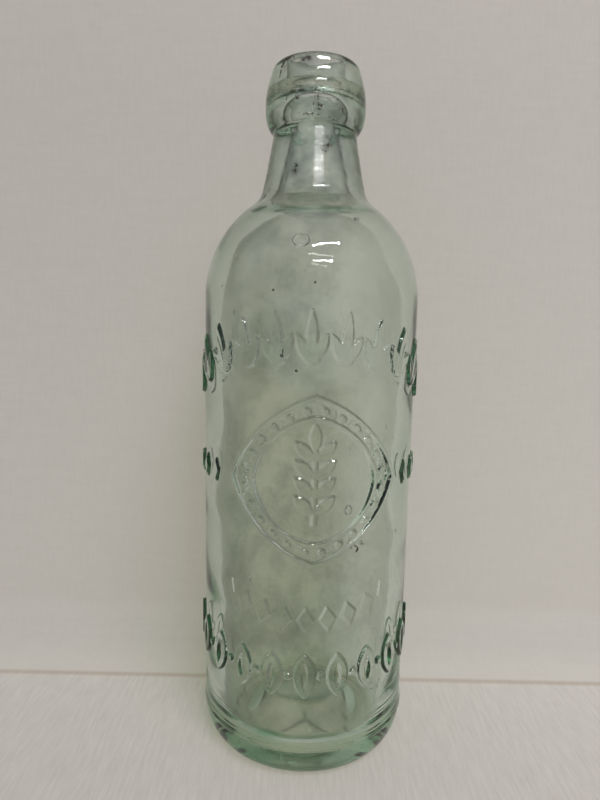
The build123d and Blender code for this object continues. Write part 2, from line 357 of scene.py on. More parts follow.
class StudioSettings(bpy.types.PropertyGroup):
    """Backdrop, lamps and fill light."""

    wall_distance: FloatProperty(
        name="Wall Distance", description="From the bottle's axis back to the wall",
        default=0.046, min=0.036, subtype="DISTANCE", unit="LENGTH")
    wall_colour: FloatVectorProperty(
        name="Wall", description="Paint of the wall", subtype="COLOR",
        default=(0.480, 0.457, 0.424), min=0.0, max=1.0)
    table_colour: FloatVectorProperty(
        name="Table", description="Paint of the table", subtype="COLOR",
        default=(0.487, 0.463, 0.434), min=0.0, max=1.0)
    lamp_power: FloatProperty(
        name="Lamp Power", description="Power of each lamp tube", default=13.5, min=0.0, subtype="POWER")
    side_power: FloatProperty(
        name="Side Power", description="Power of the broad side lamp", default=18.0, min=0.0, subtype="POWER")
    fill_strength: FloatProperty(
        name="Fill", description="Strength of the even fill light", default=0.40, min=0.0)


# Points along the section, each a curve sampled about every step millimetres

def spread(length, step):
    """Shares from 0 to 1 for points about a step apart."""
    return np.linspace(0.0, 1.0, max(2, int(round(length / step)) + 1))


def straight(start, end, step):
    """A straight run."""
    share = spread(np.hypot(end[0] - start[0], end[1] - start[1]), step)[:, None]
    return np.array(start) * (1 - share) + np.array(end) * share


def oval_arc(centre, across, up, start, sweep, step):
    """Part of an upright oval, its angles in degrees."""
    share = spread(radians(abs(sweep)) * max(across, up), step)
    turn = np.radians(start + sweep * share)
    return np.stack([centre[0] + across * np.cos(turn), centre[1] + up * np.sin(turn)], 1)


def rising_arc(start, end, step):
    """An arc that leaves its start straight up and bends inwards to its end."""
    inwards = start[0] - end[0]
    rise = end[1] - start[1]
    radius = (inwards**2 + rise**2) / (2 * inwards)
    sweep = degrees(asin(min(1.0, rise / radius)))
    return oval_arc((start[0] - radius, start[1]), radius, radius, 0.0, sweep, step)


def bowed_arc(start, middle, end, step):
    """The arc through three points."""
    (ax, ay), (bx, by), (cx, cy) = start, middle, end
    twice = 2 * (ax * (by - cy) + bx * (cy - ay) + cx * (ay - by))
    a2 = ax**2 + ay**2
    b2 = bx**2 + by**2
    c2 = cx**2 + cy**2
    x = (a2 * (by - cy) + b2 * (cy - ay) + c2 * (ay - by)) / twice
    y = (a2 * (cx - bx) + b2 * (ax - cx) + c2 * (bx - ax)) / twice
    first = degrees(atan2(ay - y, ax - x))
    sweep = (degrees(atan2(cy - y, cx - x)) - first + 180.0) % 360.0 - 180.0
    radius = sqrt((ax - x) ** 2 + (ay - y) ** 2)
    return oval_arc((x, y), radius, radius, first, sweep, step)


def bezier(points, step):
    """A cubic curve through its first and last points."""
    a, b, c, d = (np.array(p, float) for p in points)
    share = spread(float(np.linalg.norm(d - a)) * 1.05, step)[:, None]
    rest = 1 - share
    return rest**3 * a + 3 * rest**2 * share * b + 3 * rest * share**2 * c + share**3 * d


def joined(runs):
    """The runs end to end, each shared point once."""
    points = [runs[0]]
    for run in runs[1:]:
        points.append(run[1:])
    return np.concatenate(points)


def eased(points, width, neck_width):
    """The line with its corners rounded over about a width, another round the neck's foot, its ends kept."""
    along = np.concatenate([[0.0], np.cumsum(np.hypot(*np.diff(points, axis=0).T))])
    near_neck = np.exp(-(((points[:, 1] - NECK_FOOT) / 9.0) ** 4))
    widths = width + (neck_width - width) * near_neck
    out = points.copy()
    for row in range(1, len(points) - 1):
        reach = min(widths[row], along[row], along[-1] - along[row])
        if reach <= 0:
            continue
        at = along[row] + reach * np.linspace(-1.0, 1.0, 9)
        weight = np.cos(np.linspace(-1.0, 1.0, 9) * pi / 2.4)
        for axis in (0, 1):
            out[row, axis] = np.average(np.interp(at, along, points[:, axis]), weights=weight)
    return out


def ring_values():
    """Centre height, centre radius and section radius of the rubber ring, from the frame."""
    low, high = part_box("seal_ring")
    section = (high.z - low.z) / 2 / MM
    return (high.z + low.z) / 2 / MM, (high.x - low.x) / 2 / MM - section, section


def outer_line(row_step):
    """The outside of the section, from under the base's middle up to the crown."""
    return eased(joined([
        bezier([(0, KICK_HEIGHT), (KICK_CROWN_REACH, KICK_HEIGHT),
                (KICK_RADIUS - KICK_FOOT_REACH, 0), (KICK_RADIUS, 0)], 0.8),
        straight((KICK_RADIUS, 0), (STANDING_RADIUS, 0), 0.8),
        oval_arc((STANDING_RADIUS, HEEL_HEIGHT), HEEL_REACH, HEEL_HEIGHT, -90, 90, 0.4),
        straight((HEEL_RADIUS, HEEL_HEIGHT), wall_point(HEEL_FINE_TOP), 0.28),
        straight(wall_point(HEEL_FINE_TOP), wall_point(EMBOSSED_FOOT), 1.0),
        straight(wall_point(EMBOSSED_FOOT), wall_point(EMBOSSED_TOP), row_step),
        straight(wall_point(EMBOSSED_TOP), (BODY_RADIUS, BODY_HEIGHT), 0.7),
        rising_arc((BODY_RADIUS, BODY_HEIGHT), (NECK_FOOT_RADIUS, NECK_FOOT), 0.8),
        straight((NECK_FOOT_RADIUS, NECK_FOOT), (NECK_TOP_RADIUS, LIP_FOOT), 0.7),
        oval_arc((NECK_TOP_RADIUS, BULGE), LIP_RADIUS - NECK_TOP_RADIUS, LIP_BULGE_HEIGHT, -90, 90, 0.4),
        rising_arc((LIP_RADIUS, BULGE), (LIP_TOP_RADIUS, RIM_FOOT), 0.5),
        oval_arc((CROWN_RADIUS, RIM_FOOT), LIP_TOP_RADIUS - CROWN_RADIUS, RIM_HEIGHT, 0, 90, 0.35),
    ]), 0.9, 3.4)


def by_height(line):
    """The heights and radii of a line's points, in order of height."""
    line = line[line[:, 1].argsort()]
    return line[:, 1], line[:, 0]


def wall_point(height):
    """The straight wall's outside at a height."""
    share = (height - HEEL_HEIGHT) / (BODY_HEIGHT - HEEL_HEIGHT)
    return (HEEL_RADIUS + (BODY_RADIUS - HEEL_RADIUS) * share, height)


def inner_line(neck_width=9.0):
    """The inside of the section, from the crown down through the mouth to the floor's middle."""
    ring_height, ring_radius, section = ring_values()
    groove = section + GROOVE_CLEARANCE
    half = sqrt(groove**2 - (ring_radius - MOUTH_RADIUS) ** 2)
    groove_top = (MOUTH_RADIUS, ring_height + half)
    groove_foot = (MOUTH_RADIUS, ring_height - half)
    seat_centre = (THROAT_RADIUS + SEAT_ROUNDING, LIP_FOOT + SEAT_HEIGHT)
    seat_start = 180.0 - SEAT_SWEEP
    seat_end = (seat_centre[0] + SEAT_ROUNDING * cos(radians(seat_start)),
                seat_centre[1] + SEAT_ROUNDING * sin(radians(seat_start)))
    pocket = (POCKET_RADIUS, (seat_end[1] + groove_foot[1]) / 2)
    ledge = (LEDGE_RADIUS, NECK_FOOT - LEDGE_DROP)
    shoulder = rising_arc((BORE_RADIUS, BODY_HEIGHT), ledge, 0.8)[::-1]
    return eased(joined([
        oval_arc((CROWN_RADIUS, MOUTH_EDGE), CROWN_RADIUS - MOUTH_RADIUS, MOUTH_ROUNDING, 90, 90, 0.35),
        straight((MOUTH_RADIUS, MOUTH_EDGE), groove_top, 0.6),
        bowed_arc(groove_top, (ring_radius + groove, ring_height), groove_foot, 0.28),
        bowed_arc(groove_foot, pocket, seat_end, 0.45),
        oval_arc(seat_centre, SEAT_ROUNDING, SEAT_ROUNDING, seat_start, SEAT_SWEEP, 0.22),
        straight((THROAT_RADIUS, seat_centre[1]), (BORE_FOOT_RADIUS, NECK_FOOT), 0.6),
        straight((BORE_FOOT_RADIUS, NECK_FOOT), ledge, 0.35),
        shoulder,
        straight((BORE_RADIUS, BODY_HEIGHT), (BORE_HEEL_RADIUS, FLOOR_CORNER_TOP), 1.4),
        oval_arc((FLOOR_RADIUS, FLOOR_CORNER_TOP), FLOOR_CORNER_REACH, FLOOR_CORNER_HEIGHT, 0, -90, 0.5),
        bezier([(FLOOR_RADIUS, FLOOR_EDGE_HEIGHT), (FLOOR_RADIUS - FLOOR_FOOT_REACH, FLOOR_EDGE_HEIGHT),
                (FLOOR_CROWN_REACH, FLOOR_TOP), (0, FLOOR_TOP)], 0.5),
    ]), 0.45, neck_width)


# Depth inside each embossed outline, in millimetres, positive inside it

def leaf_depth(x, y, length, width, turn=0.0):
    """A pointed leaf that stands on the origin, turned by some degrees."""
    u = x * cos(radians(turn)) + y * sin(radians(turn))
    v = y * cos(radians(turn)) - x * sin(radians(turn)) - length / 2
    radius = (length**2 + width**2) / (4 * width)
    offset = radius - width / 2
    return radius - np.maximum(np.hypot(u + offset, v), np.hypot(u - offset, v))


def lozenge_depth(x, y, length, width):
    """An upright diamond."""
    scale = length * width / (2 * sqrt(length**2 + width**2))
    return (1 - np.abs(x) / (width / 2) - np.abs(y) / (length / 2)) * scale


def oval_depth(x, y, width, length):
    """An oval."""
    return (1 - np.hypot(x / (width / 2), y / (length / 2))) * min(width, length) / 2


def cushion_depth(x, y, reach, bulge):
    """A four pointed frame with bowed sides."""
    bow = reach / 2 + bulge / sqrt(2)
    centre = (2 * bow**2 - reach**2) / (4 * bow - 2 * reach)
    return (bow - centre) * sqrt(2) - np.hypot(np.abs(x) - centre, np.abs(y) - centre)


def palmette_depth(x, y):
    """Three leaves that spread from a small foot."""
    up = y + PALMETTE_HEIGHT / 2
    depth = leaf_depth(x, up, PALMETTE_HEIGHT, PALMETTE_LEAF_WIDTH)
    for turn in (PALMETTE_SIDE_TILT, -PALMETTE_SIDE_TILT):
        depth = np.maximum(depth, leaf_depth(x, up, PALMETTE_SIDE_LENGTH, PALMETTE_LEAF_WIDTH, turn))
    foot = oval_depth(x, up - PALMETTE_FOOT_LENGTH / 2, PALMETTE_FOOT_WIDTH, PALMETTE_FOOT_LENGTH)
    return np.maximum(depth, foot)


def dart_depth(x, y):
    """A broad leaf with a slot along its middle."""
    depth = leaf_depth(x, y + DART_HEIGHT / 2, DART_HEIGHT, DART_WIDTH)
    slot = leaf_depth(x, y + DART_SLOT_LENGTH / 2, DART_SLOT_LENGTH, DART_SLOT_WIDTH)
    return np.minimum(depth, -slot)


def cartouche_depth(x, y):
    """The double frame, the beads between its lines and the leaf sprig inside it."""
    depth = np.full_like(x, -9.0)
    for reach in (CARTOUCHE_REACH, CARTOUCHE_REACH - CARTOUCHE_BAND):
        outer = cushion_depth(x, y, reach, CARTOUCHE_BULGE)
        inner = cushion_depth(x, y, reach - CARTOUCHE_LINE, CARTOUCHE_BULGE)
        depth = np.maximum(depth, np.minimum(outer, -inner))
    bead_reach = CARTOUCHE_REACH - (CARTOUCHE_LINE + CARTOUCHE_BAND) / 2
    for step in range(CARTOUCHE_BEAD_COUNT):
        along = (step + 1 / 2) / CARTOUCHE_BEAD_COUNT
        swell = CARTOUCHE_BULGE / sqrt(2) * sin(pi * along)
        across = bead_reach * along + swell
        up = bead_reach * (1 - along) + swell
        bead = oval_depth(np.abs(x) - across, np.abs(y) - up, CARTOUCHE_BEAD, CARTOUCHE_BEAD)
        depth = np.maximum(depth, bead)
    stem = np.minimum(SPRIG_STEM_WIDTH / 2 - np.abs(x), SPRIG_HEIGHT / 2 - np.abs(y))
    depth = np.maximum(depth, stem)
    tip = SPRIG_HEIGHT / 2 - SPRIG_LEAF_WIDTH
    depth = np.maximum(depth, leaf_depth(x, y - tip, SPRIG_LEAF_LENGTH, SPRIG_LEAF_WIDTH))
    for pair in range(SPRIG_PAIRS):
        up = y - tip + SPRIG_PAIR_PITCH * (pair + 1 / 2)
        for turn in (SPRIG_LEAF_TILT, -SPRIG_LEAF_TILT):
            leaf = leaf_depth(x, up, SPRIG_LEAF_LENGTH, SPRIG_LEAF_WIDTH, turn)
            depth = np.maximum(depth, leaf)
    return depth


def row_places(apex, curve_radius, sweep, count, sign):
    """(angle, height, lean) along a row that arches up (sign 1) or hangs down (sign -1)."""
    for step in range(count):
        angle = sweep * (step / (count - 1) - 1 / 2)
        along = BODY_RADIUS * radians(angle)
        fall = curve_radius - sqrt(curve_radius**2 - along**2)
        yield angle, apex - sign * fall, -sign * degrees(asin(along / curve_radius))


def stamp(depth, angle, height, place, shape, reach):
    """Adds one mark to the depth field, within its reach in millimetres."""
    at, up, lean = place
    rows = np.abs(height[:, 0] - up) < reach
    columns = np.abs(angle[0] - at) < degrees(reach / BODY_RADIUS)
    window = np.ix_(rows, columns)
    across = BODY_RADIUS * np.radians(angle[window] - at)
    rise = height[window] - up
    x = across * cos(radians(lean)) + rise * sin(radians(lean))
    y = rise * cos(radians(lean)) - across * sin(radians(lean))
    depth[window] = np.maximum(depth[window], shape(x, y))


def embossing(angle, height, softness, stippled):
    """Height of the relief over a grid of angles in degrees and heights, with or without the stippling."""
    side_mark = partial(lozenge_depth, length=SIDE_MARK_LENGTH, width=SIDE_MARK_WIDTH)
    small_mark = partial(lozenge_depth, length=SMALL_LOZENGE_HEIGHT, width=SMALL_LOZENGE_WIDTH)
    foot_bead = partial(oval_depth, width=FOOT_BEAD, length=FOOT_BEAD)
    foot_row = (FOOT_ROW_HEIGHT, FOOT_ROW_CURVE_RADIUS)
    bead_sweep = FOOT_ROW_SWEEP * (FOOT_ROW_COUNT - 2) / (FOOT_ROW_COUNT - 1)
    depth = np.full(angle.shape, -9.0)
    fine = np.full(angle.shape, -9.0)
    rows = (
        (depth, row_places(ARCH_APEX, ARCH_CURVE_RADIUS, ARCH_SWEEP, ARCH_COUNT, 1),
         palmette_depth, PALMETTE_HEIGHT),
        (depth, [(at, CARTOUCHE_HEIGHT, 0.0) for at in SIDE_MARK_ANGLES], side_mark, SIDE_MARK_LENGTH),
        (fine, row_places(SMALL_ROW_HEIGHT, SMALL_ROW_CURVE_RADIUS, SMALL_ROW_SWEEP, SMALL_ROW_COUNT, -1),
         small_mark, SMALL_LOZENGE_HEIGHT),
        (depth, row_places(*foot_row, FOOT_ROW_SWEEP, FOOT_ROW_COUNT, -1), dart_depth, DART_HEIGHT),
        (depth, row_places(*foot_row, bead_sweep, FOOT_ROW_COUNT - 1, -1), foot_bead, FOOT_BEAD),
    )
    for marks, places, shape, reach in rows:
        for place in places:
            stamp(marks, angle, height, place, shape, reach)
    front = np.abs(angle) < 80
    x = np.where(front, (BODY_RADIUS + RELIEF) * np.sin(np.radians(angle - CARTOUCHE_TURN)), 99.0)
    depth = np.maximum(depth, cartouche_depth(x, height - CARTOUCHE_HEIGHT))
    relief = stipple(x, height - CARTOUCHE_HEIGHT) if stippled else np.zeros(angle.shape)
    fade = np.clip(1.5 - np.abs(angle) / 40.0, 0.2, 1.0)
    for marks, slope, level in (
        (depth, softness, RELIEF + RELIEF_LIFT),
        (fine, softness * SMALL_ROW_SOFTNESS, RELIEF * SMALL_ROW_SHARE * fade),
    ):
        share = np.clip((marks + slope * 0.4) / slope, 0.0, 1.0)
        relief = np.maximum(relief, level * share * share * (3 - 2 * share))
    return relief


def stipple(x, y):
    """Height of the fine stipple between the two lines of the cartouche."""
    edge = np.minimum(cushion_depth(x, y, CARTOUCHE_REACH - CARTOUCHE_LINE, CARTOUCHE_BULGE),
                      -cushion_depth(x, y, CARTOUCHE_REACH - CARTOUCHE_BAND, CARTOUCHE_BULGE))
    band = edge > 0.2
    across, up = x[band], y[band]
    chance = np.random.default_rng(71)
    rise = np.zeros(across.shape)
    for u, v in chance.uniform(-CARTOUCHE_REACH, CARTOUCHE_REACH, (STIPPLE_COUNT, 2)):
        away = (across - u) ** 2 + (up - v) ** 2
        rise = np.maximum(rise, chance.uniform(0.4, 1.0) * np.exp(-away / STIPPLE_SIZE**2))
    out = np.zeros(x.shape)
    out[band] = STIPPLE_RISE * rise * np.clip(edge[band] / 0.5, 0, 1)
    return out


# Uneven surfaces

def waves(angle, height, count, finest, tallest, seed):
    """A smooth uneven field of about unit size, closed round the bottle; finest in turns, tallest in mm."""
    chance = np.random.default_rng(seed)
    field = np.zeros(np.broadcast(angle, height).shape)
    for _ in range(count):
        turns = chance.integers(1, finest + 1)
        pitch = tallest * chance.uniform(0.35, 1.0)
        phase, lean = chance.uniform(0, 2 * pi, 2)
        field += np.sin(turns * np.radians(angle) + phase + lean * height / tallest) * np.cos(
            2 * pi * height / pitch + lean)
    return field / sqrt(count / 2)


def grid_mesh(points, turns):
    """A closed skin from rows of points, its first and last rows each a single pole."""
    rows, columns = points.shape[:2]
    ring = np.arange(columns)
    following = (ring + 1) % columns
    quads = []
    for row in range(rows - 1):
        low = row * columns
        high = low + columns
        quads.append(np.stack([low + ring, low + following, high + following, high + ring], 1))
    quads = np.concatenate(quads)
    vertices = np.concatenate([points.reshape(-1, 3), turns])
    foot = rows * columns
    top = foot + 1
    caps = [(foot, int(b), int(a)) for a, b in zip(ring, following)]
    last = (rows - 1) * columns
    caps += [(top, int(last + a), int(last + b)) for a, b in zip(ring, following)]
    return vertices, [tuple(q) for q in quads.tolist()] + caps


def make_object(name, vertices, faces, material):
    """A smooth shaded mesh object from points in metres."""
    mesh = bpy.data.meshes.new(name)
    mesh.from_pydata([tuple(v) for v in vertices], [], faces)
    mesh.validate()
    mesh.shade_smooth()
    mesh.materials.append(material)
    made = bpy.data.objects.new(name, mesh)
    bpy.context.scene.collection.objects.link(made)
    return made


def around(radius, angle, height):
    """Points in metres from radii, angles from the front in degrees, and heights."""
    turn = np.radians(angle)
    return np.stack([radius * np.sin(turn), -radius * np.cos(turn), height + 0 * turn], -1) * MM


def column_angles(step):
    """Angles of the mesh's columns, close together on the embossed side."""
    fine = degrees(step / MM / BODY_RADIUS)
    front = np.linspace(-FINE_HALF_ANGLE, FINE_HALF_ANGLE, int(2 * FINE_HALF_ANGLE / fine) + 1)
    back_half = 180.0 - FINE_HALF_ANGLE
    back = FINE_HALF_ANGLE + np.linspace(0, 2 * back_half, int(back_half) + 1)[1:-1]
    return np.concatenate([front, back])


def wrapped(angle):
    """Angles brought between -180 and 180 degrees."""
    return (angle + 180.0) % 360.0 - 180.0


def glass_skin(settings):
    """Vertices and faces of the bottle in one closed skin, with the film thinned on its marks' slopes and
    painted shade on their upper and right slopes.
    """
    angle = column_angles(settings.column_step)[None, :]
    turned = wrapped(angle)
    outer = outer_line(settings.row_step / MM)[1:]
    inner = inner_line()[1:-1]
    softness = settings.edge_softness / MM

    radius = outer[:, 0:1] + 0 * angle
    height = outer[:, 1:2] + 0 * angle
    wall = (outer[:, 1] > EMBOSSED_FOOT) & (outer[:, 1] < EMBOSSED_TOP)
    hollow = 0.5 + 0.5 * np.clip(waves(turned, height, 14, 11, 60.0, 3) / 2.0, -1, 1)
    free = np.clip((outer[:, 1:2] - 1.0) / 12.0, 0, 1)
    radius = radius - settings.outer_waviness / MM * 2 * hollow * free * (radius / BODY_RADIUS)
    grid = (turned + 0 * height[wall], height[wall], softness)
    radius[wall] += embossing(*grid, True)
    rise, run = np.gradient(embossing(*grid, False))
    # Painted shade: edges[1] marks the upper and right slopes of each mark, on the camera's side, for the
    # dark residue colour; edges[0] thins the film on all slopes.
    facing = np.clip(1.7 - np.abs(turned) / 32.0, 0, 1)
    edges = np.zeros((2, *radius.shape))
    edges[0, wall] = np.clip(np.hypot(rise, run) / 0.2, 0, 1)
    edges[1, wall] = np.clip((-rise - run) / 0.22, 0, 1) * facing
    neck = np.clip((height - NECK_FOOT + 2) / 5, 0, 1) * np.clip((LIP_FOOT + 1 - height) / 3, 0, 1)
    radius += 0.010 * neck * (waves(turned, height, 11, 5, 9.0, 51) - 1.5)
    neck_share = np.clip((height - NECK_FOOT) / NECK_LENGTH, 0, 1)
    radius -= NECK_HOLLOW * np.sin(pi * neck_share**0.8)
    radius += heel_marks(turned, height)
    outside = around(radius, angle, height)

    radius = inner[:, 0:1] + 0 * angle
    height = inner[:, 1:2] + 0 * angle
    drain = 1 / np.hypot(np.sin(np.radians(angle)) / (DRAIN_WIDTH / 2),
                         np.cos(np.radians(angle)) / (DRAIN_LENGTH / 2))
    throat = (inner[:, 1] > NECK_FOOT) & (inner[:, 1] < LIP_FOOT + SEAT_HEIGHT + SEAT_ROUNDING)
    radius[throat] = np.maximum(radius[throat], drain + 0 * radius[throat])
    below = np.clip((NECK_FOOT + 6.0 - height) / 16.0, 0, 1)
    wander = settings.inner_waviness / MM * below * (radius / BORE_RADIUS)
    radius = radius + wander * waves(turned, height, 10, 3, 150.0, 11)
    radius = radius + 0.11 * below * (radius / BORE_RADIUS) * waves(turned, height, 16, 8, 42.0, 61)
    corner = np.exp(-(((radius - 24.5) / 3.2) ** 2)) * (height < FLOOR_CORNER_TOP + 6)
    radius = radius + 0.16 * corner * waves(turned, height * 0, 8, 14, 1000.0, 21)
    inside = around(radius, angle, height)

    poles = np.array([[0, 0, KICK_HEIGHT], [0, 0, FLOOR_TOP]]) * MM
    vertices, faces = grid_mesh(np.concatenate([outside, inside]), poles)
    edges = edges.reshape(2, -1)
    return vertices, faces, np.pad(edges, ((0, 0), (0, len(vertices) - edges.shape[1])))


def heel_marks(angle, height):
    """The raised joint line of the mould's base and a few short upright ones."""
    rise = 0 * height * angle
    for joint, swell, width in HEEL_JOINTS:
        front = np.clip(0.6 + 2 * np.cos(np.radians(angle)), 0, 1)
        rise = np.maximum(rise, front * swell * np.exp(-(((height - joint) / width) ** 2)))
    for at, foot, top in HEEL_TICKS:
        across = np.radians(wrapped(angle - at)) * HEEL_RADIUS
        inside = np.clip((height - foot) / 0.8, 0, 1) * np.clip((top - height) / 0.8, 0, 1)
        rise = np.maximum(rise, 0.2 * inside * np.exp(-((across / 0.32) ** 2)))
    return rise


def seed_skin(radii, rings=8, columns=12):
    """A small closed bubble about the origin, its faces turned inwards."""
    vertices = []
    for ring in range(1, rings):
        polar = pi * ring / rings
        for column in range(columns):
            turn = 2 * pi * column / columns
            vertices.append((sin(polar) * cos(turn), sin(polar) * sin(turn), cos(polar)))
    vertices += [(0, 0, 1), (0, 0, -1)]
    top = len(vertices) - 2
    faces = []
    for ring in range(rings - 2):
        for column in range(columns):
            nxt = (column + 1) % columns
            a, b = ring * columns + column, ring * columns + nxt
            faces.append((a, b, b + columns, a + columns))
    last = (rings - 2) * columns
    for column in range(columns):
        nxt = (column + 1) % columns
        faces.append((top, nxt, column))
        faces.append((top + 1, last + column, last + nxt))
    return np.array(vertices) * np.array(radii), faces


# Shader nodes

def feed(tree, socket, value):
    """Gives an input a value, or links an output to it."""
    if isinstance(value, bpy.types.NodeSocket):
        tree.links.new(value, socket)
    else:
        socket.default_value = value


def node(tree, kind, **values):
    """A node with its settings, and its inputs, which start with a capital and have _ for a space."""
    made = tree.nodes.new("ShaderNode" + kind)
    for key, value in values.items():
        if key[0].isupper():
            feed(tree, made.inputs[key.replace("_", " ")], value)
        else:
            setattr(made, key, value)
    return made


def maths(tree, operation, *terms, clamped=False):
    """The result of a calculation, each term a number or an output."""
    made = node(tree, "Math", operation=operation, use_clamp=clamped)
    for socket, term in zip(made.inputs, terms):
        feed(tree, socket, term)
    return made.outputs[0]


def between(tree, share, first, second, kind="RGBA"):
    """A colour or number part of the way from one to another."""
    return node(tree, "Mix", data_type=kind, Factor=share, A=first, B=second).outputs["Result"]


def ranged(tree, value, low, high, style="SMOOTHSTEP", **ends):
    """How far a value is from low to high, from 0 to 1 or between other ends."""
    return node(tree, "MapRange", interpolation_type=style, Value=value,
                From_Min=low, From_Max=high, **ends).outputs["Result"]


def blended(tree, share, first, second):
    """One shader part of the way to another."""
    made = node(tree, "MixShader", Fac=share)
    feed(tree, made.inputs[1], first)
    feed(tree, made.inputs[2], second)
    return made.outputs[0]


def ramp(tree, share, stops):
    """A colour that changes along stops of (place, colour)."""
    made = node(tree, "ValToRGB", Fac=share)
    elements = made.color_ramp.elements
    for place, _ in stops[1:-1]:
        elements.new(place)
    for element, (place, colour) in zip(elements, stops):
        element.position = place
        element.color = rgba(colour)
    return made.outputs["Color"]


def rgba(colour):
    """A colour with full alpha."""
    return (*colour, 1.0)


def new_group(name, inputs, output_kinds):
    """An empty shader node group with named sockets, what it is given, and what it puts out."""
    group = bpy.data.node_groups.new(name, "ShaderNodeTree")
    for label, value in inputs.items():
        kind = "NodeSocketFloat" if isinstance(value, float) else "NodeSocketColor"
        group.interface.new_socket(label, in_out="INPUT", socket_type=kind).default_value = value
    for label, kind in output_kinds.items():
        group.interface.new_socket(label, in_out="OUTPUT", socket_type=kind)
    given = group.nodes.new("NodeGroupInput").outputs
    return group, given, group.nodes.new("NodeGroupOutput").inputs


def worn_surface_group():
    """Dull patches, fine pits and shallow ripples of an old glass or rubber surface."""
    if "Worn Surface" in bpy.data.node_groups:
        return bpy.data.node_groups["Worn Surface"]
    group, given, result = new_group("Worn Surface", {
        "Clear Roughness": 0.02, "Dull Roughness": 0.25, "Dull Cover": 0.4,
        "Patch Scale": 60.0, "Pit Scale": 900.0, "Pit Depth": 0.2},
        {"Roughness": "NodeSocketFloat", "Height": "NodeSocketFloat"})
    place = node(group, "TexCoord").outputs["Object"]
    patches = node(group, "TexNoise", Vector=place, Scale=given["Patch Scale"], Detail=4.0,
                   Roughness=0.6).outputs["Fac"]
    cover = maths(group, "MULTIPLY", ranged(group, patches, 0.42, 0.68), given["Dull Cover"])
    rough = between(group, cover, given["Clear Roughness"], given["Dull Roughness"], "FLOAT")
    pits = node(group, "TexVoronoi", feature="F1", Vector=place, Scale=given["Pit Scale"]).outputs["Distance"]
    depth = maths(group, "MULTIPLY", ranged(group, pits, 0.0, 0.35, "LINEAR"), given["Pit Depth"])
    feed(group, result["Roughness"], rough)
    feed(group, result["Height"], maths(group, "ADD", depth, patches))
    return group


def film_group():
    """A thin uneven film of old dirt over a clean colour, and an extra even film over both; on the glass they
    also carry painted shade.
    """
    if "Dirt And Shade Film" in bpy.data.node_groups:
        return bpy.data.node_groups["Dirt And Shade Film"]
    group, given, result = new_group("Dirt And Shade Film", {
        "Clean": (1.0, 1.0, 1.0, 1.0), "Film": (0.5, 0.45, 0.3, 1.0), "Cover": 0.2, "Scale": 120.0,
        "Extra": 0.0, "Extra Film": (0.2, 0.12, 0.06, 1.0)}, {"Color": "NodeSocketColor"})
    place = node(group, "TexCoord").outputs["Object"]
    cloud = node(group, "TexNoise", Vector=place, Scale=given["Scale"], Detail=6.0,
                 Roughness=0.65).outputs["Fac"]
    amount = maths(group, "MULTIPLY", ranged(group, cloud, 0.38, 0.72), given["Cover"])
    colour = between(group, amount, given["Clean"], given["Film"])
    feed(group, result["Color"], between(group, given["Extra"], colour, given["Extra Film"]))
    return group


def new_material(name):
    """An empty node material, its tree and its output node's inputs."""
    material = bpy.data.materials.new(name)
    material.use_nodes = True
    tree = material.node_tree
    tree.nodes.clear()
    return material, tree, node(tree, "OutputMaterial").inputs


def coated_material(name, wear, dirt, bump, **values):
    """A worn and dirty material of one plain shader; bump is its strength and distance."""
    material, tree, output = new_material(name)
    worn = node(tree, "Group", node_tree=worn_surface_group(), **wear).outputs
    film = node(tree, "Group", node_tree=film_group(), **dirt).outputs
    uneven = node(tree, "Bump", Strength=bump[0], Distance=bump[1], Height=worn["Height"])
    coat = node(tree, "BsdfPrincipled", Base_Color=film["Color"], Roughness=worn["Roughness"],
                Normal=uneven.outputs["Normal"], **values)
    feed(tree, output["Surface"], coat.outputs[0])
    return material


def rubber_material(settings):
    """Aged gum rubber: pale, half clear, with brown perished patches and fine cracks."""
    wear = {"Clear_Roughness": 0.12, "Dull_Roughness": 0.45, "Dull_Cover": 0.6,
            "Patch_Scale": 400.0, "Pit_Scale": 2400.0, "Pit_Depth": 0.8}
    dirt = {"Clean": rgba(settings.rubber), "Film": rgba(settings.stain), "Cover": 0.5, "Scale": 260.0}
    return coated_material("Aged Gum Rubber", wear, dirt, (0.15, 0.0002), IOR=1.5, Transmission_Weight=1.0)


def grime_material():
    """Dry black and rust brown dirt."""
    wear = {"Clear_Roughness": 0.65, "Dull_Roughness": 0.9, "Dull_Cover": 1.0,
            "Patch_Scale": 900.0, "Pit_Scale": 5000.0, "Pit_Depth": 1.0}
    dirt = {"Clean": rgba(BLACK_DIRT), "Film": rgba(RUST_DIRT), "Cover": 0.9, "Scale": 260.0}
    return coated_material("Dry Grime", wear, dirt, (0.6, 0.0001))


